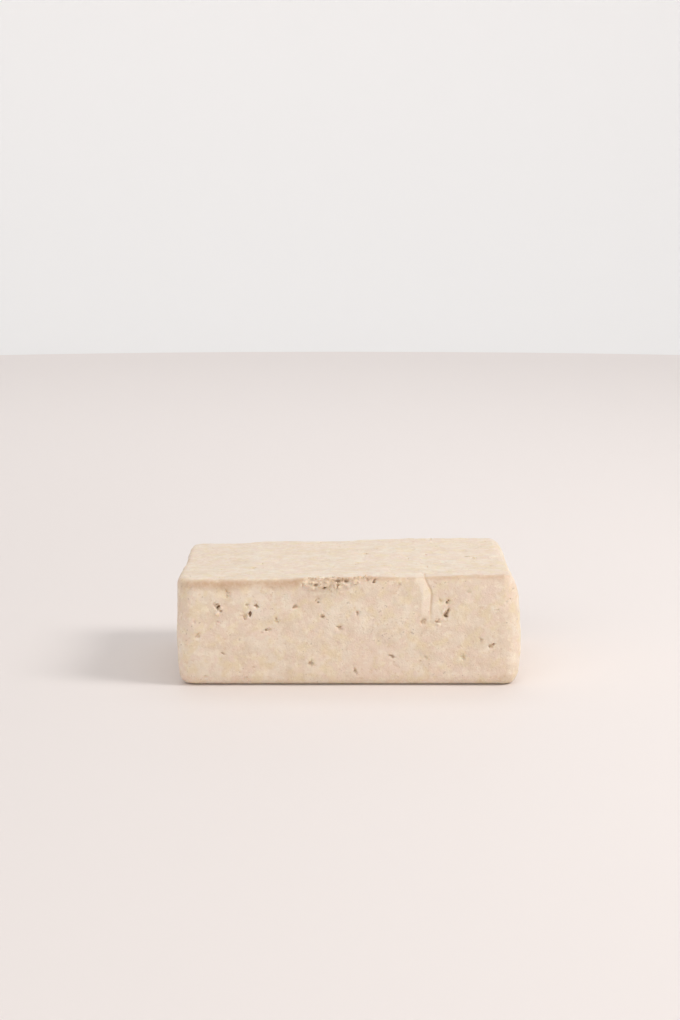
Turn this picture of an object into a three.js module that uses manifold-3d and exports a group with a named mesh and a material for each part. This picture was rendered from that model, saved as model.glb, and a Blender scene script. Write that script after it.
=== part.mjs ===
// A pressed block of firm tofu, standing on its base.
// Millimetres, +Z up, origin at the middle of the base, +X along the length, -Y the front face.
import * as THREE from "three";
import { ImprovedNoise } from "three/addons/math/ImprovedNoise.js";
import { mergeVertices } from "three/addons/utils/BufferGeometryUtils.js";
import Module from "manifold-3d";

const { clamp, lerp, smoothstep, seededRandom } = THREE.MathUtils;
const wasm = await Module();
wasm.setup();

// Overall form: the block was pressed a little more at its left end.
const LENGTH = 114; // of the outline at the base; the sides swell out beyond it
const DEPTH = 78;
const HEIGHT_LEFT = 35.8;
const HEIGHT_RIGHT = 37.8;
const CORNER_RADIUS = 5; // upright corners, seen from above
const BASE_RADIUS = 3.6; // edge round the base
const TOP_RADIUS = 1.3; // edge round the top
const TOP_RADIUS_SPREAD = 0.4; // how much that edge varies along its run
const SHOULDER_RADIUS = 3; // extra rounding of the top edge at the right end
const SHOULDER_LEAN = 1.2; // how far the top of that end leans in
const SHOULDER_HEIGHT = 12; // height over which it does
const WORN_RADIUS = 1.5; // extra rounding where the front top edge is worn, at the left
const WORN_END = -16; // x where the worn stretch ends
const BULGE = 0.8; // how far the sides swell at mid height
const WAVE_LONG = { size: 23, height: 0.55 }; // slow unevenness of the faces
const WAVE_SHORT = { size: 8, height: 0.22 };

// A creased fold in the front face, running down from the top edge.
const FOLD_X = 24.7; // its crest
const FOLD_BEND = 2; // how far its upper end bends to the left
const FOLD_BEND_FROM = 31; // height where the bend starts
const FOLD_FOOT = 22; // height of its lower end
const FOLD_RUN = 5; // length over which it fades out above that end
const FOLD_HEIGHT = 0.35;
const FOLD_WIDTH = 4; // of its soft left flank
const CREASE_WIDTH = 2.6; // of its steeper right flank
const CREASE_DEPTH = 0.3; // how far the face beyond the crease lies back

// Pits that stand out in the front face: x, height above the base, width, height of the pit.
const FRONT_PITS = [
  [-50.4, 17.1, 1.2, 1.7],
  [-43.4, 26.2, 1.1, 3.2],
  [-40.4, 31.2, 2.2, 1.3],
  [-34.9, 24.2, 1.9, 1.2],
  [-32.8, 25.0, 1.3, 1.1],
  [-30.8, 27.3, 1.8, 1.2],
  [-27.0, 18.9, 2.2, 1.6],
  [-24.0, 23.3, 1.3, 1.9],
  [-17.6, 27.4, 1.5, 1.1],
  [-13.0, 7.4, 1.7, 1.2],
  [-10.2, 29.8, 1.1, 1.6],
  [-8.6, 23.8, 1.3, 1.3],
  [-2.9, 19.3, 1.7, 1.3],
  [3.2, 25.3, 2.0, 1.2],
  [14.5, 10.1, 1.4, 1.1],
  [25.0, 21.9, 1.5, 1.8],
  [30.1, 21.7, 1.7, 1.4],
  [32.4, 24.6, 1.3, 2.2],
  [32.9, 28.4, 1.3, 1.1],
  [47.8, 13.6, 1.2, 1.5],
];
const PIT_DEPTH = 0.75; // of a pit, as a share of its width

// Places where crumbs broke out of the front top edge: x, width, height of the chip.
const CHIPS = [
  [-12.9, 5.0, 3.2],
  [-8.4, 5.6, 3.0],
  [-4.2, 4.2, 3.8],
  [-0.6, 2.4, 1.8],
  [4.4, 4.4, 2.4],
  [8.6, 2.8, 2.2],
];
const CHIP_DEPTH = 0.55; // of a chip, as a share of its height

// Pits strewn over each of the other faces: how many, and the widths they lie between.
const STREWN = { back: 15, left: 8, right: 8, top: 12 };
const STREWN_WIDTH = [1.1, 2.3];
const SEED = 11;

// Grid of the faces.
const EDGE_LINES = [0, 0.7, 1.7, 3.2, 5]; // distances from an upright edge
const BASE_LINES = [0, 0.8, 2, 3.6]; // distances from the base
const TOP_LINES = [4.4, 2.6, 1.2, 0.5, 0]; // distances from the top
const FACE_STEP = 4.2; // spacing of the lines between them
const FOLD_LINES = [-2.6, 0, 1.3, 2.6, 4]; // extra lines, from the fold's crest

const meanHeight = (HEIGHT_LEFT + HEIGHT_RIGHT) / 2;
const noise = new ImprovedNoise();

// Evenly spaced values from a to b, neither included, no further apart than step.
function between(a, b, step) {
  const count = Math.ceil((b - a) / step);
  return Array.from({ length: count - 1 }, (_, i) => lerp(a, b, (i + 1) / count));
}

// Lines across a horizontal side of the given length, close together near both ends.
function sideLines(length, extra = []) {
  const half = length / 2;
  const band = EDGE_LINES.at(-1);
  const low = EDGE_LINES.map((d) => d - half);
  const high = low.map((x) => -x).reverse();
  const middle = between(band - half, half - band, FACE_STEP);
  const kept = middle.filter((x) => extra.every((e) => Math.abs(x - e) > FACE_STEP / 2.5));
  return [...low, ...kept, ...extra, ...high].sort((a, b) => a - b);
}

// Lines up the sides, from the base to the top, at the block's mean height.
function heightLines() {
  const upper = TOP_LINES.map((d) => meanHeight - d);
  return [...BASE_LINES, ...between(BASE_LINES.at(-1), upper[0], FACE_STEP), ...upper];
}

// A box whose grid lines lie at the given values along each axis, as one merged surface.
function griddedBox(xs, ys, zs) {
  const [nx, ny, nz] = [xs, ys, zs].map((lines) => lines.length - 1);
  const box = new THREE.BoxGeometry(nx, ny, nz, nx, ny, nz);
  box.deleteAttribute("normal");
  box.deleteAttribute("uv");
  const place = box.getAttribute("position");
  for (let i = 0; i < place.count; i++) {
    const x = xs[Math.round(place.getX(i) + nx / 2)];
    const y = ys[Math.round(place.getY(i) + ny / 2)];
    const z = zs[Math.round(place.getZ(i) + nz / 2)];
    place.setXYZ(i, x, y, z);
  }
  return mergeVertices(box);
}

// How strongly the front top edge is worn at x, from 0 to 1.
function worn(x) {
  return 1 - smoothstep(x, WORN_END - 3, WORN_END);
}

// How close x is to the right end, from 0 to 1.
function atRight(x) {
  return smoothstep(x, LENGTH / 2 - CORNER_RADIUS, LENGTH / 2);
}

// Radius of the top edge at a point of the outline.
function topRadius(x, y) {
  const atFront = 1 - smoothstep(y, -DEPTH / 2, -DEPTH / 2 + CORNER_RADIUS);
  const wander = TOP_RADIUS_SPREAD * noise.noise(x / 9, y / 9, 3.1);
  return TOP_RADIUS + wander + WORN_RADIUS * worn(x) * atFront + SHOULDER_RADIUS * atRight(x);
}

// Turns the square corner of a pair of distances into a round one, keeping the larger of the two.
function roundPair(a, b) {
  const length = Math.hypot(a, b);
  const scale = length > 0 ? Math.max(Math.abs(a), Math.abs(b)) / length : 1;
  return [a * scale, b * scale];
}

// Rounds the upright corners and the edges round the base and the top of a point on the box.
function rounded(point) {
  const innerX = LENGTH / 2 - CORNER_RADIUS;
  const innerY = DEPTH / 2 - CORNER_RADIUS;
  const coreX = clamp(point.x, -innerX, innerX);
  const coreY = clamp(point.y, -innerY, innerY);
  const [outX, outY] = roundPair(point.x - coreX, point.y - coreY);
  const out = Math.hypot(outX, outY);

  const low = point.z < meanHeight / 2;
  const radius = low ? BASE_RADIUS : topRadius(point.x, point.y);
  const level = low ? BASE_RADIUS - point.z : point.z - (meanHeight - radius);
  const a = Math.max(0, out - (CORNER_RADIUS - radius));
  const b = Math.max(0, level);
  const [across, up] = roundPair(a, b);
  const keep = out > 0 ? (out - a + across) / out : 1;
  const lift = low ? b - up : up - b;
  return new THREE.Vector3(coreX + outX * keep, coreY + outY * keep, point.z + lift);
}

// Tilts the top so that the block is as tall as stated at each end; the base stays level.
function tilted(point) {
  const height = lerp(HEIGHT_LEFT, HEIGHT_RIGHT, point.x / LENGTH + 0.5);
  return point.setZ((point.z * height) / meanHeight);
}

// Height of the fold in the front face at a place on it.
function foldRelief(x, z) {
  const side = x - FOLD_X + FOLD_BEND * smoothstep(z, FOLD_BEND_FROM, meanHeight);
  const present = smoothstep(z, FOLD_FOOT, FOLD_FOOT + FOLD_RUN);
  const crest = side < 0
    ? Math.exp(-((side / FOLD_WIDTH) ** 2) * 2)
    : 1 - smoothstep(side, 0, CREASE_WIDTH);
  const beyond = smoothstep(side, 0, CREASE_WIDTH) * (1 - 0.5 * smoothstep(side, 2, 20));
  return present * (FOLD_HEIGHT * crest - CREASE_DEPTH * beyond);
}

// How far the real surface stands out from the plain rounded block.
function relief(point, normal) {
  const { x, y, z } = point;
  const swell = BULGE * (1 - (2 * z / meanHeight - 1) ** 2) * Math.hypot(normal.x, normal.y);
  const wave = [WAVE_LONG, WAVE_SHORT].reduce(
    (sum, { size, height }) => sum + height * noise.noise(x / size + 7, y / size, z / size),
    0,
  );
  const lean = SHOULDER_LEAN * atRight(x) * smoothstep(z, meanHeight - SHOULDER_HEIGHT, meanHeight);
  const offBase = smoothstep(z, 0, BASE_RADIUS * 1.5);
  const fold = foldRelief(x, z) * smoothstep(-normal.y, 0.5, 0.9);
  return offBase * (swell + wave + fold - lean);
}

// The whole block before anything has broken out of it.
function blockGeometry() {
  const extra = FOLD_LINES.map((d) => FOLD_X + d);
  const shape = griddedBox(sideLines(LENGTH, extra), sideLines(DEPTH), heightLines());
  const place = shape.getAttribute("position");
  const point = new THREE.Vector3();
  for (let i = 0; i < place.count; i++) {
    point.copy(tilted(rounded(point.fromBufferAttribute(place, i))));
    place.setXYZ(i, point.x, point.y, point.z);
  }
  shape.computeVertexNormals();
  const normals = shape.getAttribute("normal");
  const normal = new THREE.Vector3();
  for (let i = 0; i < place.count; i++) {
    point.fromBufferAttribute(place, i);
    normal.fromBufferAttribute(normals, i);
    point.addScaledVector(normal, relief(point, normal));
    place.setXYZ(i, point.x, point.y, point.z);
  }
  shape.deleteAttribute("normal");
  return shape;
}

// A geometry of merged vertices as a solid.
function solidOf(geometry) {
  return new wasm.Manifold(new wasm.Mesh({
    numProp: 3,
    vertProperties: new Float32Array(geometry.getAttribute("position").array),
    triVerts: new Uint32Array(geometry.getIndex().array),
  }));
}

// A solid as a geometry.
function geometryOf(solid) {
  const { vertProperties, triVerts } = solid.getMesh();
  return new THREE.BufferGeometry()
    .setAttribute("position", new THREE.BufferAttribute(vertProperties, 3))
    .setIndex(new THREE.BufferAttribute(triVerts, 1));
}

// A lump of the given size, each corner moved in or out at random.
function lump(width, height, depth) {
  const shape = new THREE.IcosahedronGeometry(1);
  shape.deleteAttribute("normal");
  shape.deleteAttribute("uv");
  const merged = mergeVertices(shape, 1e-3);
  const place = merged.getAttribute("position");
  for (let i = 0; i < place.count; i++) {
    const reach = 0.8 + 0.4 * seededRandom();
    place.setXYZ(i, place.getX(i) * reach, place.getY(i) * reach, place.getZ(i) * reach);
  }
  return merged.scale(width / 2, height / 2, depth);
}

// The five open faces: a point well outside each, and the ways across and up it.
const FACES = {
  front: { out: [0, -1, 0], across: [1, 0, 0], up: [0, 0, 1] },
  back: { out: [0, 1, 0], across: [-1, 0, 0], up: [0, 0, 1] },
  left: { out: [-1, 0, 0], across: [0, -1, 0], up: [0, 0, 1] },
  right: { out: [1, 0, 0], across: [0, 1, 0], up: [0, 0, 1] },
  top: { out: [0, 0, 1], across: [1, 0, 0], up: [0, 1, 0] },
};

// Half the length of a face across it, and the least and greatest place up it, clear of its edges.
function faceSpan(name) {
  const margin = CORNER_RADIUS + 2;
  const wide = name === "left" || name === "right" ? DEPTH : LENGTH;
  const upward = name === "top"
    ? [margin - DEPTH / 2, DEPTH / 2 - margin]
    : [BASE_RADIUS + 4, meanHeight - TOP_RADIUS - 3];
  return { half: wide / 2 - margin, low: upward[0], high: upward[1] };
}

// A pit's tool, standing in the surface where a ray meets the face at (across, up).
function pitTool(block, face, across, up, width, height) {
  const { out, across: u, up: v } = FACES[face];
  const axes = [u, v, out].map((a) => new THREE.Vector3(...a));
  const start = new THREE.Vector3()
    .addScaledVector(axes[0], across)
    .addScaledVector(axes[1], up)
    .addScaledVector(axes[2], LENGTH);
  const hit = new THREE.Raycaster(start, axes[2].clone().negate()).intersectObject(block)[0];
  const basis = new THREE.Matrix4().makeBasis(...axes).setPosition(hit.point);
  const depth = PIT_DEPTH * Math.min(width, height);
  return lump(width, height, depth).applyMatrix4(basis);
}

// Pits at random places on a face.
function strewnPits(block, face, count) {
  const { half, low, high } = faceSpan(face);
  return Array.from({ length: count }, () => {
    const across = lerp(-half, half, seededRandom());
    const up = lerp(low, high, seededRandom());
    const width = lerp(...STREWN_WIDTH, seededRandom() ** 2);
    const height = width * lerp(0.6, 1.2, seededRandom());
    return pitTool(block, face, across, up, width, height);
  });
}

// A chip's tool, standing in the front top edge.
function chipTool(x, width, height) {
  const top = lerp(HEIGHT_LEFT, HEIGHT_RIGHT, x / LENGTH + 0.5);
  const ontoEdge = new THREE.Matrix4().makeRotationX(Math.PI / 4);
  const tool = lump(width, height, CHIP_DEPTH * height).applyMatrix4(ontoEdge);
  return tool.translate(x, -DEPTH / 2, top);
}

// Moves the shape so that the middle of its box lies over the origin, and its base at zero.
function centred(geometry) {
  geometry.computeBoundingBox();
  const { min, max } = geometry.boundingBox;
  return geometry.translate(-(min.x + max.x) / 2, -(min.y + max.y) / 2, -min.z);
}

function tofuBlock() {
  seededRandom(SEED);
  const plain = new THREE.Mesh(blockGeometry(), new THREE.MeshStandardMaterial());
  const tools = [
    ...FRONT_PITS.map(([x, z, width, height]) => pitTool(plain, "front", x, z, width, height)),
    ...Object.entries(STREWN).flatMap(([face, count]) => strewnPits(plain, face, count)),
    ...CHIPS.map(([x, width, height]) => chipTool(x, width, height)),
  ];
  const solid = tools.reduce((left, tool) => left.subtract(solidOf(tool)), solidOf(plain.geometry));
  const curd = new THREE.MeshStandardMaterial({ color: 0xead5bd, roughness: 0.5, metalness: 0 });
  const block = new THREE.Mesh(centred(geometryOf(solid)), curd);
  block.name = "tofu_block";
  return block;
}

const tofu = new THREE.Group();
tofu.add(tofuBlock());

export default tofu;
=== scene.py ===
# The looks of a pressed block of firm tofu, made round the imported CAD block.
# Shape work is in millimetres, in the CAD frame: +X along the length, -Y out of the front face, +Z up.
import math

import bpy
import numpy as np
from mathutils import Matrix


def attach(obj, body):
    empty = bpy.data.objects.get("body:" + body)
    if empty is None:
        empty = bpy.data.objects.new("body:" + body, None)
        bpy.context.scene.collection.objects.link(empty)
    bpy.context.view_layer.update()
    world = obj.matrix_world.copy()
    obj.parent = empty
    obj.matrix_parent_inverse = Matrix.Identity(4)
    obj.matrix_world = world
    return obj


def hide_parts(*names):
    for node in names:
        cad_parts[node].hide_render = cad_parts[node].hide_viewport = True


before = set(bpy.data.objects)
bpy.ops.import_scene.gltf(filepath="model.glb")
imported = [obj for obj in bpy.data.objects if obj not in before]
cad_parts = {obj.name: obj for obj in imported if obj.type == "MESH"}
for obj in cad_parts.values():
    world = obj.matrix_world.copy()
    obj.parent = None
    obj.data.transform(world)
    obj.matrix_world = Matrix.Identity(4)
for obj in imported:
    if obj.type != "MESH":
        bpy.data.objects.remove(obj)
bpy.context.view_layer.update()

import openvdb
from mathutils import Vector

MM = 0.001

# Where the random numbers of each thing start.
SEED = 4
GRAIN_SEED, CRUMBLE_SEED, WARP_SEED, PIT_SEED, CHUNK_SEED, HOLLOW_SEED = 5, 10, 20, 40, 41, 42

# The grid on which the block is sculpted, and the mesh made from it.
VOXEL = 0.3
MARGIN = 4.2  # of empty grid round the block
END_STRETCH = 14.0  # of the block at each end, over which its height there is measured
REACH = 6.0  # distances from the surface are exact up to here
TRIANGLES = 190000  # of the finished mesh

# Surface of the curd.
BLUR_REACH = 2.5  # how far a blur looks, in its widths
FACET_BLUR = 0.3  # takes the facets off the CAD block
BALL = 3.0  # radius of the ball that, rolled over the block, gives its skin without pits and chips
EDGE_BLUR = 2.0  # tells edges that stand proud
BASE_FADE = (0.3, 2.5)  # heights between which unevenness starts above the flat base
RELIEF = [(13.0, 0.15), (5.0, 0.07)]  # size and height of the skin's slow lumps
GRAINS = [(3.0, 0.13), (1.7, 0.09)]  # the same of the curd's grains, round ones with creases between
CRUMBLE = [(1.6, 0.24), (0.9, 0.16)]  # the same of the lumps where the skin is broken
BROKEN_AT = (0.10, 0.40)  # depths below the skin between which it counts as broken
WARP = (1.3, 0.5)  # size and amount of the shift that makes pits and chips ragged
WARP_REACH = 1.5  # how far from the surface that shift reaches
LUMP_SPREAD = 1.6  # spread of the lattice values that give smooth lumps between about -1 and 1

# Small pits strewn over every open face, closer together beside the large ones.
PINHOLES = 480
PINHOLE_TRIES = 4  # places looked at for each of them
PINHOLE_RADIUS = (0.18, 0.46)
PINHOLE_SKEW = 2.6  # the higher, the more of them are small
PINHOLE_LIKELY = (0.15, 6.0)  # chance of one on plain skin, and how it grows beside broken skin
PINHOLE_LOWEST = 2.0  # height above the base from which they start
SATELLITES = 1.7  # how many smaller pits each has beside it, on average
SATELLITE_AWAY = (1.2, 2.6)  # how far from its middle they lie, in its radii
SATELLITE_SIZE = (0.5, 0.9)  # their radii, as shares of its own
CLUSTER_BLUR = 2.2  # how far around broken skin its surroundings reach
CLUSTER_NEAR = 1.0  # broken skin is counted this near to the surface
PIT_SHAPE = ((0.9, 0.45, 0.9), (2.2, 0.9, 1.8))  # least and most length, width and depth, in its radii

# Outline of pits and crumbs: a ball cut by random flats, then roughened.
FLATS = 7
FLAT_REACH = 1.5  # radius of the ball, with the flats at 1
LUMP_REACH = 2.2  # how far from its middle a lump is looked for, in its longest radius
ROUGHNESS = 0.34  # as a share of the radius
PIT_GRAIN, CHUNK_GRAIN = 0.7, 0.9  # size of that roughness

# The CAD block's own pits, each cut again as a few ragged hollows that run into each other.
PIT_FLOOR = 0.35  # how far below the skin a CAD point lies that counts as a pit's floor
PIT_APART = 1.3  # least distance between two of them
HOLLOWS = 4  # in each pit
HOLLOW_RADIUS = (0.20, 0.40)
HOLLOW_SPREAD = 0.8  # how far from the pit's middle they lie, along the surface
HOLLOW_SUNK = 0.26  # and how far below the skin
BESIDE = (1.0, 1.7)  # how far from the pit's middle the small lumps beside it lie
BESIDE_RADIUS = (0.30, 0.60)
BESIDE_SHARE = 0.3  # how many of them there are for each hollow

# What the broken stretch of the front top edge holds: x, depth below the top, length and height.
CHUNKS = [
    (-13.4, 1.9, 3.4, 2.0),
    (-7.3, 2.0, 6.2, 1.9),
    (-10.6, 3.0, 1.8, 1.0),
    (-2.0, 2.2, 1.4, 1.3),
    (-0.6, 2.9, 2.2, 1.3),
    (1.6, 1.3, 1.5, 1.2),
]
HOLES = [
    (-15.4, 2.0, 0.9, 1.8),
    (-11.2, 2.4, 1.3, 0.9),
    (-8.2, 3.2, 1.6, 0.7),
    (-3.3, 2.7, 1.2, 1.8),
    (-0.7, 0.9, 2.0, 1.4),
    (8.4, 1.5, 0.9, 0.7),
]
CHUNK_RADIUS, HOLE_RADIUS = 0.65, 1.0  # of these, into the block
FRONT_AXES = np.array([(1, 0, 0), (0, 0, 1), (0, -1, 0)])  # along, up and out of the front face
LUMP_SUNK = 0.45  # how far a lump's middle lies below the surface, as a share of that radius
CRUMBS = 14
CRUMB_RADIUS = (0.25, 0.55)
CRUMB_STRETCH = (0.8, 1.3)  # of each of a crumb's three axes
CRUMBS_FROM, CRUMBS_TO = -15.0, 2.5  # along the edge
CRUMBS_DOWN = (1.0, 3.6)  # how far below the top edge they lie
WHOLE_FROM = (2.6, 4.2)  # between these the edge becomes whole again
WHOLE_TO = 14.0  # up to here the CAD block's chips are filled
WHOLE_DOWN, WHOLE_BACK = 4.5, 5.0  # how far below the edge and behind it they are filled

# The band along that edge, partly tan skin and partly painted shadow: x, its strength there and its width.
EDGE_TAN_AND_SHADOW_BAND = [(-45.0, 1.0, 4.3), (-17.0, 1.0, 3.6), (-15.0, 0.75, 1.7), (10.0, 0.75, 1.5), (58.0, 0.5, 1.3)]
EDGE_TAN_AND_SHADOW_FADE = (0.35, 1.15)  # depths below the edge between which it fades, as shares of its width
EDGE_TAN_AND_SHADOW_BACK = (1.2, 3.5)  # how far behind the front face it fades
EDGE_TAN_AND_SHADOW_WAVES = [(18.0, 0.09), (8.0, 0.05)]  # length of its rim's waves, and height as a share of its width

# The fold in the front face: a welt with a crease to its right, bent to the left at its top; the colour
# paints a highlight on the welt and shade in the crease.
CREASE_X = 27.4
CREASE_WIDTH = 0.4
CREASE_DEPTH = 0.30
WELT_X = 25.6
WELT_WIDTH = 1.5
WELT_HEIGHT = 0.06
FOLD_BEND = 2.0  # how far left it swings at the top
FOLD_BEND_FROM = 31.0  # height from which it does
FOLD_WAVER = (14.5, 0.2)  # length of the wave along it, and how far that swings
FOLD_FOOT = 21.5  # height of its foot
FOLD_RUN = 5.0  # over which it rises from there
FOLD_BACK = 8.0  # how far behind the front face it is cut off


def smoothstep(value, low, high):
    t = np.clip((value - low) / (high - low), 0, 1)
    return t * t * (3 - 2 * t)


class Grid:
    """A box of voxels round the block; its arrays hold one value for each voxel."""

    def __init__(self, low, high):
        self.first = np.floor((np.array(low) - MARGIN) / VOXEL).astype(int)
        last = np.ceil((np.array(high) + MARGIN) / VOXEL).astype(int)
        self.shape = tuple(last - self.first + 1)

    def axes(self):
        """X, Y and Z of the voxels, each shaped so that they broadcast to the whole grid."""
        lines = [(f + np.arange(n)) * VOXEL for f, n in zip(self.first, self.shape)]
        return [line.astype(np.float32) for line in np.ix_(*lines)]

    def cells(self, points):
        """The voxel below each point, and how far the point lies towards the next one."""
        place = points / VOXEL - self.first
        place = np.clip(place, 0, np.array(self.shape) - 1.001)
        cell = np.floor(place).astype(int)
        return cell, place - cell

    def sample(self, values, points):
        """The array's values at the points, blended between voxels."""
        cell, part = self.cells(points)
        total = np.zeros(len(points))
        for corner in np.ndindex(2, 2, 2):
            weight = np.prod(np.where(corner, part, 1 - part), axis=1)
            total += weight * values[tuple((cell + corner).T)]
        return total

    def window(self, centre, reach):
        """Slices of the voxels within reach of a point along each axis."""
        low = np.floor((centre - reach) / VOXEL - self.first).astype(int)
        high = np.ceil((centre + reach) / VOXEL - self.first).astype(int) + 1
        return tuple(slice(max(0, a), b) for a, b in zip(low, high))


def mesh_arrays(mesh):
    """A mesh's points in millimetres, and its triangles."""
    mesh.calc_loop_triangles()
    points = np.empty(len(mesh.vertices) * 3, np.float32)
    triangles = np.empty(len(mesh.loop_triangles) * 3, np.int32)
    mesh.vertices.foreach_get("co", points)
    mesh.loop_triangles.foreach_get("vertices", triangles)
    return points.reshape(-1, 3) / MM, triangles.reshape(-1, 3)


def distances(grid, points, **faces):
    """Distance of each voxel from the surface of the given triangles or quads, negative inside it."""
    level_set = openvdb.FloatGrid.createLevelSetFromPolygons(
        points.astype(np.float32),
        **{kind: corners.astype(np.uint32) for kind, corners in faces.items()},
        transform=openvdb.createLinearTransform(voxelSize=VOXEL),
        halfWidth=REACH / VOXEL,
    )
    values = np.empty(grid.shape, np.float32)
    level_set.copyToArray(values, ijk=tuple(int(i) for i in grid.first))
    return values


def largest_part(count, faces):
    """Those of the faces that hang together with the most points."""
    label = np.arange(count)
    settled = False
    while not settled:
        lowest = label.copy()
        np.minimum.at(lowest, faces, label[faces].min(1)[:, None])
        lowest = lowest[lowest]
        settled = np.array_equal(lowest, label)
        label = lowest
    return faces[label[faces[:, 0]] == np.bincount(label).argmax()]


def polygons(grid, values, level):
    """Points and quads of the surface at the given distance from the solid's."""
    volume = openvdb.FloatGrid(MARGIN)
    volume.copyFromArray(values, ijk=tuple(int(i) for i in grid.first))
    volume.transform = openvdb.createLinearTransform(voxelSize=VOXEL)
    return volume.convertToQuads(isovalue=level)


def rolled(grid, values, radius):
    """Distances from the surface that a ball touches when it rolls over the solid: hollows are closed."""
    points, quads = polygons(grid, values, radius)
    return distances(grid, points, quads=quads) + radius


def blurred(values, width):
    """The array smoothed by a bell curve; its width is one standard deviation."""
    reach = math.ceil(BLUR_REACH * width / VOXEL)
    steps = range(-reach, reach + 1)
    weights = np.exp([-0.5 * (s * VOXEL / width) ** 2 for s in steps])
    weights /= weights.sum()
    for axis in range(3):
        pad = [(reach, reach) if a == axis else (0, 0) for a in range(3)]
        padded = np.pad(values, pad, mode="edge")
        count = values.shape[axis]
        rows = [slice(None)] * 3
        values = np.zeros_like(values)
        for step, weight in enumerate(weights):
            rows[axis] = slice(step, step + count)
            values += np.float32(weight) * padded[tuple(rows)]
    return values


def spline_weights(count, size):
    """What each lattice value, size apart, adds at each voxel of a line of voxels."""
    place = np.arange(count) * VOXEL / size
    cell = place.astype(int)
    t = place - cell
    parts = [(1 - t) ** 3, 3 * t**3 - 6 * t**2 + 4, -3 * t**3 + 3 * t**2 + 3 * t + 1, t**3]
    weights = np.zeros((count, cell[-1] + 4), np.float32)
    for offset, part in enumerate(parts):
        weights[np.arange(count), cell + offset] = part / 6
    return weights


def lumps(grid, size, seed):
    """Smooth random values over the grid, mostly between -1 and 1, in lumps of the given size."""
    generator = np.random.default_rng(SEED * 1000 + seed)
    weights = [spline_weights(count, size) for count in grid.shape]
    values = generator.normal(0, LUMP_SPREAD, [w.shape[1] for w in weights]).astype(np.float32)
    for axis, w in enumerate(weights):
        values = np.moveaxis(np.tensordot(w, values, (1, axis)), 0, axis)
    return values


def fold(grid, block):
    """How far the fold's welt stands out of the front face, less the depth of its crease."""
    x, y, z = grid.axes()
    length, swing = FOLD_WAVER
    side = x + FOLD_BEND * smoothstep(z, FOLD_BEND_FROM, block.top(WELT_X))
    side = side - swing * np.sin(2 * np.pi * z / length)
    welt = WELT_HEIGHT * np.exp(-(((side - WELT_X) / WELT_WIDTH) ** 4))
    crease = CREASE_DEPTH * np.exp(-(((side - CREASE_X) / CREASE_WIDTH) ** 2))
    return (welt - crease) * smoothstep(z, FOLD_FOOT, FOLD_FOOT + FOLD_RUN) * (y < block.front + FOLD_BACK)


def surface_points(generator, points, triangles, count, lowest):
    """Points strewn evenly over the triangles that lie above the lowest height."""
    corners = points[triangles]
    corners = corners[corners[:, :, 2].min(1) > lowest]
    across = np.cross(corners[:, 1] - corners[:, 0], corners[:, 2] - corners[:, 0])
    area = np.linalg.norm(across, axis=1)
    chosen = generator.choice(len(corners), count, p=area / area.sum())
    a, b = np.sqrt(generator.random(count)), generator.random(count)
    shares = np.stack([1 - a, a * (1 - b), a * b], axis=1)
    return np.einsum("nk,nkc->nc", shares, corners[chosen])


def onto_surface(grid, values, points):
    """The nearest places on the surface, and the way out of the solid at each."""
    for _ in range(2):
        sides = [(points + step, points - step) for step in np.eye(3) * VOXEL]
        slope = [grid.sample(values, ahead) - grid.sample(values, behind) for ahead, behind in sides]
        outward = np.stack(slope, axis=1)
        outward /= np.maximum(np.linalg.norm(outward, axis=1, keepdims=True), 1e-6)
        points = points - outward * grid.sample(values, points)[:, None]
    return points, outward


def sideways(generator, outward):
    """A random direction along the surface at each place."""
    step = generator.normal(size=outward.shape)
    step -= outward * np.sum(step * outward, axis=1, keepdims=True)
    return step / np.linalg.norm(step, axis=1, keepdims=True)


def ragged_lump(grid, generator, rough, centre, axes, radii):
    """Distances from an uneven lump cut by random flats, and the slices of the voxels they are for."""
    window = grid.window(centre, float(max(radii)) * LUMP_REACH)
    x, y, z = grid.axes()
    dx, dy, dz = x[window[0]] - centre[0], y[:, window[1]] - centre[1], z[:, :, window[2]] - centre[2]
    parts = np.stack([(dx * a + dy * b + dz * c) / r for (a, b, c), r in zip(axes, radii)])
    flats = generator.normal(size=(FLATS, 3))
    flats /= np.linalg.norm(flats, axis=1, keepdims=True)
    away = np.maximum(np.linalg.norm(parts, axis=0) / FLAT_REACH, np.tensordot(flats, parts, 1).max(0))
    return window, (away - 1 - ROUGHNESS * rough[window]) * min(radii)


def axes_at(generator, outward, level):
    """A lump's axes: the front face's own, or along the surface at random, across that, and outward."""
    if level:
        return FRONT_AXES
    along = sideways(generator, outward[None])[0]
    return along, np.cross(outward, along), outward


def cut_pits(grid, values, generator, rough, spots, radii, level=False):
    """Cuts a small ragged hollow into the surface at each spot."""
    for spot, outward, sizes in zip(*onto_surface(grid, values, spots), radii):
        axes = axes_at(generator, outward, level)
        window, lump = ragged_lump(grid, generator, rough, spot, axes, sizes)
        values[window] = np.maximum(values[window], -lump)


def add_lumps(grid, values, generator, rough, spots, radii, level=False):
    """Unites the solid with a small ragged lump at each spot, partly sunk into the surface."""
    for spot, outward, sizes in zip(*onto_surface(grid, values, spots), radii):
        axes = axes_at(generator, outward, level)
        centre = spot - LUMP_SUNK * sizes[2] * axes[2]
        window, lump = ragged_lump(grid, generator, rough, centre, axes, sizes)
        values[window] = np.minimum(values[window], lump)


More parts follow.
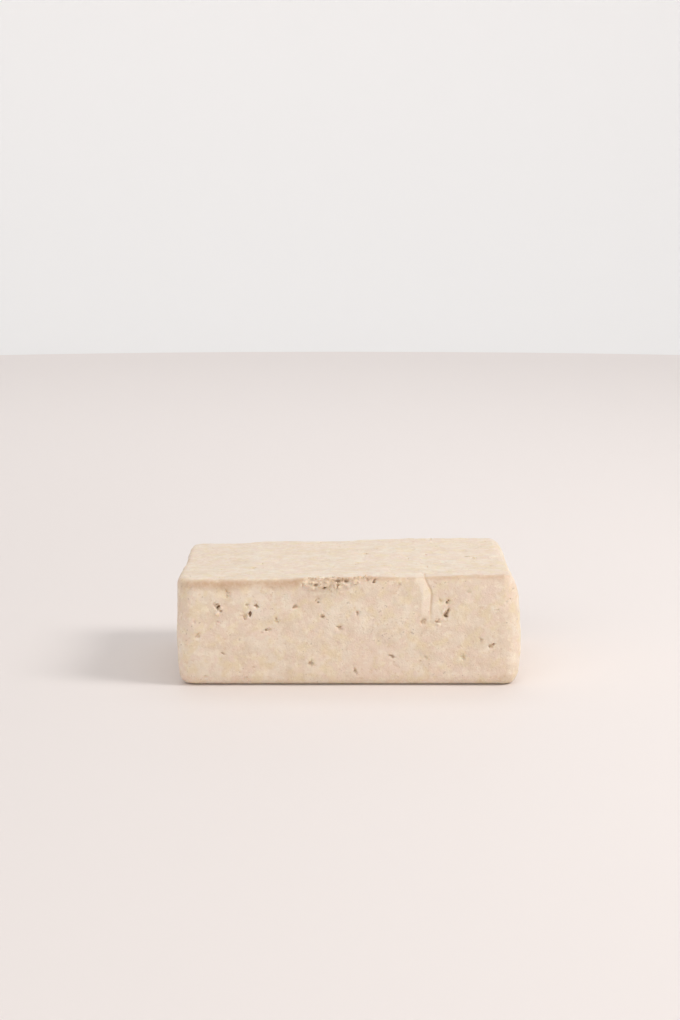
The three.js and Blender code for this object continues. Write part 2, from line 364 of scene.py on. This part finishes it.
def strew_pinholes(grid, values, torn, points, triangles):
    """Cuts small pits all over, each with a few smaller ones close beside it."""
    generator = np.random.default_rng(SEED)
    plain, beside = PINHOLE_LIKELY
    spots = surface_points(generator, points, triangles, PINHOLES * PINHOLE_TRIES, PINHOLE_LOWEST)
    likely = plain + beside * grid.sample(torn, spots)
    spots = spots[generator.random(len(spots)) < likely][:PINHOLES]
    small, large = PINHOLE_RADIUS
    sizes = small + (large - small) * generator.random(len(spots)) ** PINHOLE_SKEW
    _, outward = onto_surface(grid, values, spots)
    more = generator.poisson(SATELLITES, len(spots))
    away = sideways(generator, np.repeat(outward, more, axis=0))
    away *= (np.repeat(sizes, more) * generator.uniform(*SATELLITE_AWAY, more.sum()))[:, None]
    spots = np.concatenate([spots, np.repeat(spots, more, axis=0) + away])
    sizes = np.concatenate([sizes, np.repeat(sizes, more) * generator.uniform(*SATELLITE_SIZE, more.sum())])
    radii = sizes[:, None] * generator.uniform(*PIT_SHAPE, (len(sizes), 3))
    cut_pits(grid, values, generator, lumps(grid, PIT_GRAIN, PIT_SEED), spots, radii)


def recut_pits(grid, values, skin, points):
    """Cuts a few ragged hollows into each pit of the CAD block, and sets small lumps beside some."""
    generator = np.random.default_rng(SEED + 2)
    depth = -grid.sample(skin, points)
    middles = np.empty((0, 3))
    for point in points[np.argsort(-depth)][: np.sum(depth > PIT_FLOOR)]:
        if not len(middles) or np.linalg.norm(middles - point, axis=1).min() > PIT_APART:
            middles = np.append(middles, [point], axis=0)
    spots, outward = onto_surface(grid, skin, np.repeat(middles, HOLLOWS, axis=0))
    spots += sideways(generator, outward) * HOLLOW_SPREAD * generator.random((len(spots), 1))
    spots -= outward * HOLLOW_SUNK
    radii = generator.uniform(*HOLLOW_RADIUS, (len(spots), 1))
    radii = radii * generator.uniform(*PIT_SHAPE, (len(spots), 3))
    rough = lumps(grid, PIT_GRAIN, HOLLOW_SEED)
    for spot, out, sizes in zip(spots, outward, radii):
        window, lump = ragged_lump(grid, generator, rough, spot, axes_at(generator, out, False), sizes)
        values[window] = np.maximum(values[window], -lump)
    away = sideways(generator, outward) * generator.uniform(*BESIDE, (len(spots), 1))
    chosen = generator.random(len(spots)) < BESIDE_SHARE
    places = (np.repeat(middles, HOLLOWS, axis=0) + away)[chosen]
    sizes = generator.uniform(*BESIDE_RADIUS, (len(places), 3))
    add_lumps(grid, values, generator, rough, places, sizes)


class Block:
    """Where the block's front face and its sloping top edge lie."""

    def __init__(self, points):
        x, _, z = points.T
        self.front = points[:, 1].min()
        self.ends = x.min(), x.max()
        self.heights = z[x < self.ends[0] + END_STRETCH].max(), z[x > self.ends[1] - END_STRETCH].max()

    def top(self, x):
        """Height of the top edge at x."""
        return np.interp(x, self.ends, self.heights)

    def on_front(self, places):
        """Points of the front face, for places given by x and how far they lie below its top edge."""
        return np.array([(x, self.front, self.top(x) - down) for x, down in places])


def break_edge(grid, values, block):
    """Fills the broken stretch of the front top edge with chunks and crumbs, and with holes between."""
    generator = np.random.default_rng(SEED + 1)
    rough = lumps(grid, CHUNK_GRAIN, CHUNK_SEED)
    for places, depth, change in ((CHUNKS, CHUNK_RADIUS, add_lumps), (HOLES, HOLE_RADIUS, cut_pits)):
        spots = block.on_front([(x, down) for x, down, _, _ in places])
        radii = [(length / 2, height / 2, depth) for _, _, length, height in places]
        change(grid, values, generator, rough, spots, radii, level=True)
    across = generator.uniform(CRUMBS_FROM, CRUMBS_TO, CRUMBS)
    down = generator.uniform(*CRUMBS_DOWN, CRUMBS)
    sizes = generator.uniform(*CRUMB_RADIUS, (CRUMBS, 1)) * generator.uniform(*CRUMB_STRETCH, (CRUMBS, 3))
    add_lumps(grid, values, generator, rough, block.on_front(zip(across, down)), sizes)


def healed(grid, block):
    """Where the chips of the front top edge are filled again."""
    x, y, z = grid.axes()
    at_edge = (z > block.top(x) - WHOLE_DOWN) & (y < block.front + WHOLE_BACK)
    return smoothstep(x, *WHOLE_FROM) * (x < WHOLE_TO) * at_edge


def warped(grid, values):
    """The array with the surroundings of the surface shifted a little, this way and that."""
    size, amount = WARP
    near = np.nonzero(np.abs(values) < WARP_REACH)
    points = (np.stack(near, axis=1) + grid.first) * VOXEL
    shift = [amount * lumps(grid, size, WARP_SEED + axis)[near] for axis in range(3)]
    result = values.copy()
    result[near] = grid.sample(values, points + np.stack(shift, axis=1))
    return result


def worn(grid, block):
    """How strongly the band along the front top edge is tinted, partly as tan skin and partly as painted
    shadow.
    """
    x, y, z = grid.axes()
    places, strengths, widths = zip(*EDGE_TAN_AND_SHADOW_BAND)
    width = np.interp(x, places, widths)
    waves = sum(height * np.sin(2 * np.pi * x / length) for length, height in EDGE_TAN_AND_SHADOW_WAVES)
    down = (block.top(x) - z) / width + waves
    below = np.interp(x, places, strengths) * (1 - smoothstep(down, *EDGE_TAN_AND_SHADOW_FADE))
    return below * (1 - smoothstep(y - block.front, *EDGE_TAN_AND_SHADOW_BACK))


def sculpted(points, triangles):
    """The grid, the distances of the finished surface, and what its colours depend on."""
    grid = Grid(points.min(0), points.max(0))
    block = Block(points)
    values = blurred(distances(grid, points, triangles=triangles), FACET_BLUR)
    skin = rolled(grid, values, BALL)
    values += healed(grid, block) * (skin - values)
    edges = blurred(values, EDGE_BLUR)
    lifted = smoothstep(grid.axes()[2], *BASE_FADE)
    broken = smoothstep(values - skin, *BROKEN_AT) * lifted
    values += broken * (warped(grid, values) - values)
    for seed, (size, height) in enumerate(RELIEF):
        values += height * lifted * lumps(grid, size, seed)
    grains = sum(
        height * np.abs(lumps(grid, size, GRAIN_SEED + seed)) for seed, (size, height) in enumerate(GRAINS)
    )
    values -= lifted * (grains - grains.mean())
    for seed, (size, height) in enumerate(CRUMBLE):
        values += height * broken * lumps(grid, size, CRUMBLE_SEED + seed)
    folded = fold(grid, block)
    values -= folded
    recut_pits(grid, values, skin, points)
    break_edge(grid, values, block)
    torn = blurred(broken * (np.abs(values) < CLUSTER_NEAR), CLUSTER_BLUR)
    strew_pinholes(grid, values, torn, points, triangles)
    traits = {"depth": -skin, "torn": torn, "edge": edges, "worn": worn(grid, block)}
    return grid, values, traits | {"grain": grains, "fold": folded}


def mesh_from(grid, values, name):
    """The surface where the distances are zero, as a mesh."""
    points, quads = polygons(grid, values, 0)
    quads = largest_part(len(points), quads)
    kept, quads = np.unique(quads, return_inverse=True)
    mesh = bpy.data.meshes.new(name)
    mesh.from_pydata(points[kept] * MM, [], quads.reshape(-1, 4).tolist())
    return mesh


def reduced(piece):
    """Brings the piece's mesh down to the triangle limit, and smooths its shading."""
    count = sum(len(p.vertices) - 2 for p in piece.data.polygons)
    if count > TRIANGLES:
        modifier = piece.modifiers.new("fewer", "DECIMATE")
        modifier.ratio = TRIANGLES / count
        modifier.use_collapse_triangulate = True
        graph = bpy.context.evaluated_depsgraph_get()
        lighter = bpy.data.meshes.new_from_object(piece.evaluated_get(graph))
        piece.modifiers.clear()
        piece.data = lighter
    piece.data.shade_smooth()


def keep_values(mesh, name, values):
    mesh.attributes.new(name, "FLOAT", "POINT").data.foreach_set("value", values.astype(np.float32))


def make_block(material):
    points, triangles = mesh_arrays(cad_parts["tofu_block"].data)
    grid, values, traits = sculpted(points, triangles)
    piece = bpy.data.objects.new("tofu", mesh_from(grid, values, "tofu"))
    bpy.context.scene.collection.objects.link(piece)
    reduced(piece)
    made, _ = mesh_arrays(piece.data)
    for name, trait in traits.items():
        keep_values(piece.data, name, grid.sample(trait, made))
    piece.data.materials.append(material)
    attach(piece, "root")
    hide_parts("tofu_block")


# ---------- Materials ----------

CREAM = (0.828, 0.712, 0.580)
BEIGE = (0.772, 0.632, 0.493)
PINKISH = (0.815, 0.655, 0.535)
YELLOWISH = (0.810, 0.675, 0.480)
CURD = (0.905, 0.795, 0.655)
PALE = (0.930, 0.850, 0.730)
TAN = (0.660, 0.460, 0.285)
# Tan skin and painted shadow along the front top edge.
EDGE_TAN_AND_SHADOW = (0.585, 0.390, 0.250)
# Painted shade of deep pits.
PIT_SHADE = (0.280, 0.165, 0.090)


class Shader:
    """A material's nodes, made one by one and joined as they are made."""

    def __init__(self, name):
        self.material = bpy.data.materials.new(name)
        self.material.use_nodes = True
        self.tree = self.material.node_tree
        self.surface = self.tree.nodes["Principled BSDF"]

    def node(self, kind, settings=None, **inputs):
        made = self.tree.nodes.new(kind)
        for key, value in (settings or {}).items():
            setattr(made, key, value)
        for key, value in inputs.items():
            self.feed(made.inputs[key.replace("_", " ")], value)
        return made

    def feed(self, socket, value):
        if isinstance(value, bpy.types.NodeSocket):
            self.tree.links.new(value, socket)
        else:
            socket.default_value = value

    def place(self):
        """Where a point of the surface lies on the object, in metres."""
        return self.node("ShaderNodeTexCoord").outputs["Object"]

    def noise(self, size_mm, detail=3, roughness=0.5):
        """Noise between 0 and 1, with lumps of about the given size."""
        scale = 1 / (size_mm * MM)
        made = self.node(
            "ShaderNodeTexNoise", Vector=self.place(), Scale=scale, Detail=detail, Roughness=roughness
        )
        return made.outputs["Fac"]

    def between(self, value, low, high, to_low=0.0, to_high=1.0):
        """The value moved from the first range to the second, and kept inside it."""
        made = self.node("ShaderNodeMapRange", {"interpolation_type": "SMOOTHSTEP"}, Value=value)
        for name, number in zip(("From Min", "From Max", "To Min", "To Max"), (low, high, to_low, to_high)):
            made.inputs[name].default_value = number
        return made.outputs["Result"]

    def mixed(self, factor, first, second):
        made = self.node("ShaderNodeMix", {"data_type": "RGBA"})
        colors = [(*c, 1) if isinstance(c, tuple) else c for c in (first, second)]
        for socket, value in zip((made.inputs[0], made.inputs[6], made.inputs[7]), (factor, *colors)):
            self.feed(socket, value)
        return made.outputs[2]

    def tinted(self, color, tint, most, value, low, high, where=None):
        """The colour with more and more of a tint as the value goes from low to high."""
        amount = self.between(value, low, high, 0, most)
        return self.mixed(amount if where is None else self.times(amount, where), color, tint)

    def times(self, first, second):
        return self.arithmetic("MULTIPLY", first, second)

    def plus(self, first, second):
        return self.arithmetic("ADD", first, second)

    def arithmetic(self, operation, first, second):
        made = self.node("ShaderNodeMath", {"operation": operation})
        self.feed(made.inputs[0], first)
        self.feed(made.inputs[1], second)
        return made.outputs[0]


def skin_color(curd, trait, fine):
    """Cream and beige in soft blotches, with paler grains and tan specks."""
    color = curd.tinted(CREAM, BEIGE, 1.0, curd.noise(9, 3), 0.40, 0.60)
    color = curd.tinted(color, PINKISH, 0.75, curd.noise(14), 0.46, 0.66)
    color = curd.tinted(color, YELLOWISH, 0.85, curd.noise(4.5, 2), 0.48, 0.64)
    color = curd.tinted(color, PINKISH, 0.75, curd.noise(4.0, 2, 0.4), 0.50, 0.64)
    color = curd.tinted(color, CURD, 0.45, trait("grain"), 0.10, 0.34)
    color = curd.tinted(color, CURD, 0.55, curd.noise(3.0, 4, 0.6), 0.50, 0.68)
    color = curd.tinted(color, CURD, 0.50, curd.noise(2.2, 1), 0.64, 0.72)
    color = curd.tinted(color, TAN, 0.16, trait("grain"), 0.07, 0.0)
    color = curd.tinted(color, CURD, 0.55, fine, 0.54, 0.70)
    return curd.tinted(color, TAN, 0.42, curd.noise(1.2, 4, 0.65), 0.55, 0.70)


def specked(curd, color, torn, fine):
    """The colour with tan and pale flecks beside broken skin, and dark specks of painted pit shade there
    and a few elsewhere.
    """
    color = curd.tinted(color, TAN, 0.34, fine, 0.60, 0.46, torn)
    color = curd.tinted(color, PALE, 1.0, curd.noise(1.3, 2), 0.53, 0.60, torn)
    # Dark specks: painted shade of small pits.
    specks = curd.noise(0.9, 2)
    color = curd.tinted(color, PIT_SHADE, 0.65, specks, 0.60, 0.67, torn)
    patches = curd.between(curd.noise(6.0, 1), 0.46, 0.60)
    return curd.tinted(color, PIT_SHADE, 0.38, specks, 0.64, 0.72, patches)


def shape_color(curd, color, trait, fine):
    """The colour changed by the edges, by the band along the top edge (tan skin and painted shadow), by the
    fold (a painted highlight on its welt and painted shade in its crease), and by painted shade that grows
    with how deep a place lies.
    """
    depth, welt = trait("depth"), trait("fold")
    color = curd.tinted(color, TAN, 0.22, trait("edge"), 0.3, 1.0)
    # Band along the front top edge: tan skin and painted shadow.
    color = curd.mixed(curd.times(trait("worn"), curd.between(fine, 0.35, 0.65, 1.0, 0.7)), color, EDGE_TAN_AND_SHADOW)
    # Painted highlight on the fold's welt, painted shade in its crease.
    color = curd.tinted(color, CURD, 0.45, welt, 0.01, 0.05)
    color = curd.tinted(color, TAN, 0.55, welt, -0.05, -0.25)
    # Painted shade in hollows and pits: tan, then dark, the deeper a place lies below the rolled skin.
    patches = curd.between(curd.noise(1.3, 3, 0.6), 0.42, 0.58, 0.10, 0.62)
    color = curd.tinted(color, TAN, 1.0, depth, 0.12, 0.80, patches)
    return curd.tinted(color, PIT_SHADE, 0.90, depth, 0.66, 1.35)


def curd_material():
    """Moist bean curd, tan where its skin is broken, with tan skin and painted shadow along the front top
    edge, and painted shade down in the pits.
    """
    curd = Shader("curd")

    def trait(name):
        return curd.node("ShaderNodeAttribute", {"attribute_name": name}).outputs["Fac"]

    fine = curd.noise(1.4, 4, 0.65)
    color = skin_color(curd, trait, fine)
    color = specked(curd, color, curd.between(trait("torn"), 0.02, 0.14), fine)
    curd.feed(curd.surface.inputs["Base Color"], shape_color(curd, color, trait, fine))
    curd.feed(curd.surface.inputs["Roughness"], curd.between(curd.noise(2.2, 3), 0.3, 0.7, 0.34, 0.60))
    grain = curd.plus(curd.plus(curd.noise(1.0, 3, 0.6), curd.noise(0.5, 2, 0.6)), fine)
    bump = curd.node("ShaderNodeBump", Height=grain, Strength=0.7, Distance=0.15 * MM)
    curd.feed(curd.surface.inputs["Normal"], bump.outputs["Normal"])
    curd.surface.inputs["Subsurface Weight"].default_value = 0.30
    curd.surface.inputs["Subsurface Radius"].default_value = (1.0, 0.62, 0.38)
    curd.surface.inputs["Subsurface Scale"].default_value = 1.0 * MM
    curd.surface.inputs["Specular IOR Level"].default_value = 0.5
    return curd.material


def plain_material(name, color, roughness):
    shader = Shader(name)
    shader.surface.inputs["Base Color"].default_value = (*color, 1)
    shader.surface.inputs["Roughness"].default_value = roughness
    return shader.material


# ---------- Stage, light and camera, in metres ----------

CAMERA_AT = (-0.003, -0.745, 0.168)
CAMERA_DOWN = 8.71  # degrees below level
CAMERA_LENS = 76
WORLD_LIGHT = 0.52
FLOOR_COLOR = (0.847, 0.788, 0.764)
WALL_COLOR = (0.925, 0.915, 0.912)
WALL_ABOVE = 0.002  # height from which the bend counts as wall


def placed(thing, location, target=None):
    bpy.context.scene.collection.objects.link(thing)
    thing.location = location
    if target is not None:
        thing.rotation_euler = (Vector(target) - Vector(location)).to_track_quat("-Z", "Y").to_euler()
    return thing


def make_stage():
    """A round floor that rises into a wall well away from the block, the same all round."""
    flat, bend, wall, around = 1.3, 0.5, 0.75, 96
    turns = [math.radians(6 * step) for step in range(16)]
    profile = [(0.3, 0), (0.8, 0)]
    profile += [(flat + bend * math.sin(t), bend * (1 - math.cos(t))) for t in turns]
    profile += [(flat + bend, wall)]
    points = [(0, 0, 0)]
    for radius, height in profile:
        angles = [2 * math.pi * step / around for step in range(around)]
        points += [(radius * math.cos(a), radius * math.sin(a), height) for a in angles]
    faces = [(0, 1 + step, 1 + (step + 1) % around) for step in range(around)]
    for ring in range(len(profile) - 1):
        first = 1 + ring * around
        for step in range(around):
            a, b = first + step, first + (step + 1) % around
            faces.append((a, a + around, b + around, b))
    mesh = bpy.data.meshes.new("floor")
    mesh.from_pydata(points, [], faces)
    mesh.shade_smooth()
    mesh.materials.append(plain_material("pale floor", FLOOR_COLOR, 0.6))
    mesh.materials.append(plain_material("white wall", WALL_COLOR, 0.6))
    for face in mesh.polygons:
        face.material_index = int(face.center.z > WALL_ABOVE)
    floor = placed(bpy.data.objects.new("floor", mesh), (0, 0, 0))


def soft_light(name, location, target, size, power, color):
    light = bpy.data.lights.new(name, "AREA")
    light.shape = "DISK"
    light.size = size
    light.energy = power
    light.color = color
    lamp = placed(bpy.data.objects.new(name, light), location, target)
    lamp.visible_camera = False


def make_world():
    world = bpy.data.worlds.new("studio")
    world.use_nodes = True
    background = world.node_tree.nodes["Background"]
    background.inputs["Color"].default_value = (1.0, 0.985, 0.975, 1)
    background.inputs["Strength"].default_value = WORLD_LIGHT
    bpy.context.scene.world = world


def make_camera():
    camera = placed(bpy.data.objects.new("camera", bpy.data.cameras.new("camera")), CAMERA_AT)
    camera.rotation_euler = (math.radians(90 - CAMERA_DOWN), 0, 0)
    camera.data.lens = CAMERA_LENS
    bpy.context.scene.camera = camera


make_camera()
make_world()
make_stage()
soft_light("key", (0.80, -0.27, 0.74), (0, 0, 0.02), 0.45, 6.5, (1.0, 0.98, 0.96))
soft_light("fill", (-0.50, -1.00, 0.70), (0, 0, 0.02), 0.9, 3.2, (1.0, 0.99, 0.98))
soft_light("backdrop", (0.0, 0.75, 1.10), (0, 1.45, 0.1), 1.2, 4.6, (1.0, 1.0, 1.0))
bpy.context.scene.view_settings.view_transform = "Standard"
make_block(curd_material())
